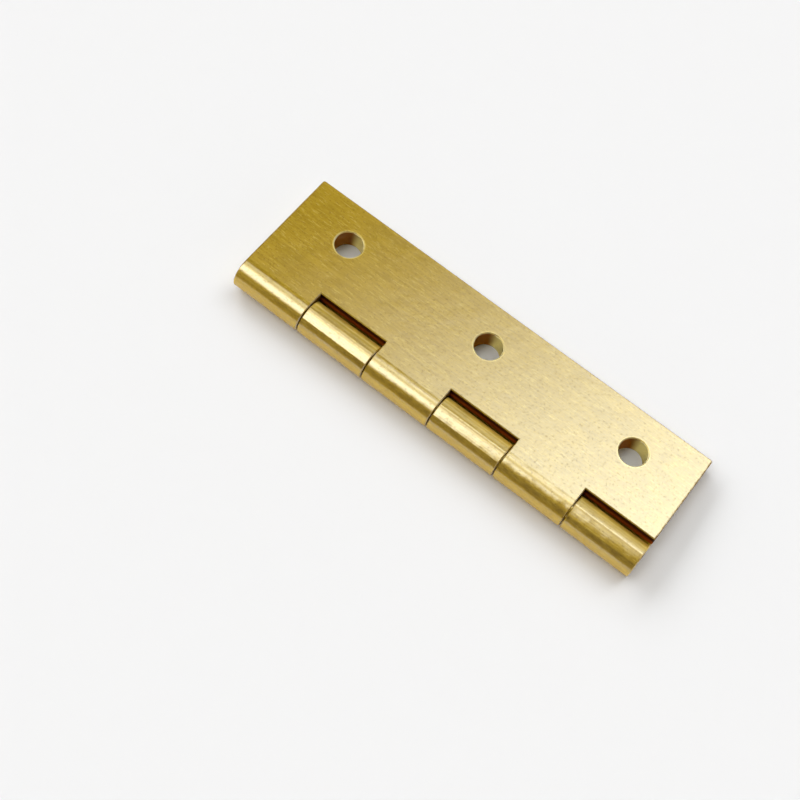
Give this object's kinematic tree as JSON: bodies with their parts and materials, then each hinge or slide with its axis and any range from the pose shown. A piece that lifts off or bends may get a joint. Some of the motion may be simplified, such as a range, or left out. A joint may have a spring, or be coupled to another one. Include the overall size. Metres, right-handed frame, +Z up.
{
  "type": "square corner butt hinge",
  "caption": "Small butt hinge with square corners, shown closed: two leaves with countersunk screw holes and interleaved round knuckles on one pin.",
  "frame": {"origin": "centre of the lower leaf's row of screw holes, on its outer face, which is the face that goes against the frame", "axes": "+X along the barrel, +Y from the barrel to the outer edge of the lower leaf, +Z up, out of the lower leaf's inner face"},
  "size_m": [0.05, 0.0151, 0.0038],
  "materials": {
    "leaf_brass": "finely brushed and polished",
    "pin_brass": "turned"
  },
  "bodies": {
    "lower": {"lower_leaf": "leaf_brass", "hinge_pin": "pin_brass"},
    "upper": {"upper_leaf": "leaf_brass"}
  },
  "joints": [
    {"name": "leaf_swing", "type": "hinge", "parent": "lower", "child": "upper", "pos_m": [0, -0.00855, 0.0019], "axis": [1, 0, 0], "range_deg": [0, 276]}
  ]
}
